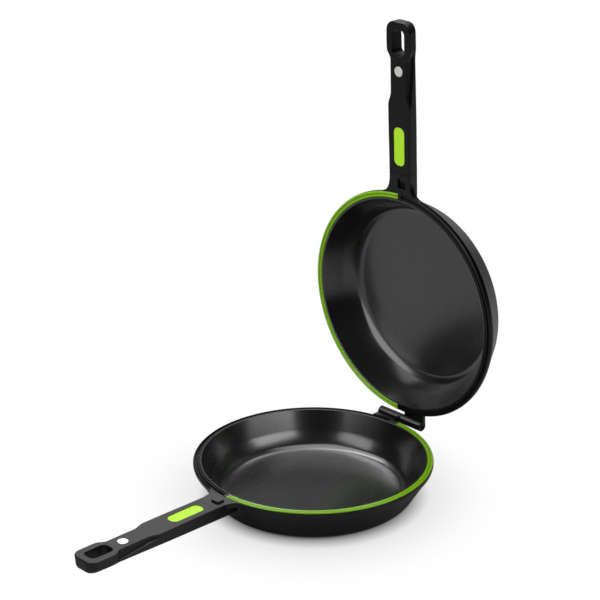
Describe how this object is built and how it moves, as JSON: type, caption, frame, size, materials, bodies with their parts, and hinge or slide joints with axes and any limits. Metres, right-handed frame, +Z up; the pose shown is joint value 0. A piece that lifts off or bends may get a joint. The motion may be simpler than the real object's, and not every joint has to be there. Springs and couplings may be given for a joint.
{
  "type": "double sided flip pan",
  "caption": "Two hinged cast frying pans that close on each other, with long handles, a green half-ring seal on each rim, handle magnets and hang slots, shown open.",
  "frame": {"origin": "centre of the lower pan's underside, on the surface it stands on", "axes": "+Z up, +X from the handles to the hinge, +Y along the hinge pin"},
  "size_m": [0.4935, 0.256, 0.4951],
  "materials": {
    "coated_aluminium": "satin black non-stick coating on cast aluminium",
    "silicone": "matte green silicone",
    "silicone_inlay": "satin green silicone",
    "steel": "brushed",
    "fixings": "zinc plated",
    "bronze": "plain",
    "phenolic": "satin black moulded phenolic",
    "nickel": "bright nickel plate"
  },
  "bodies": {
    "lower_half": {"lower_pan": "coated_aluminium", "lower_seal": "silicone", "lower_base_plate": "steel", "lower_tang_insert": "fixings", "lower_handle": "phenolic", "lower_inlay": "silicone_inlay", "lower_magnet": "nickel", "lower_lock_washer": "fixings", "lower_handle_screw": "fixings", "hinge_pin": "steel"},
    "upper_half": {"upper_pan": "coated_aluminium", "upper_seal": "silicone", "upper_base_plate": "steel", "upper_tang_insert": "fixings", "upper_handle": "phenolic", "upper_inlay": "silicone_inlay", "upper_magnet": "nickel", "upper_lock_washer": "fixings", "upper_handle_screw": "fixings", "hinge_bush": "bronze"}
  },
  "joints": [
    {"name": "hinge", "type": "hinge", "parent": "lower_half", "child": "upper_half", "pos_m": [0.1365, 0, 0.043], "axis": [0, -1, 0], "range_deg": [0, 88.2]}
  ]
}
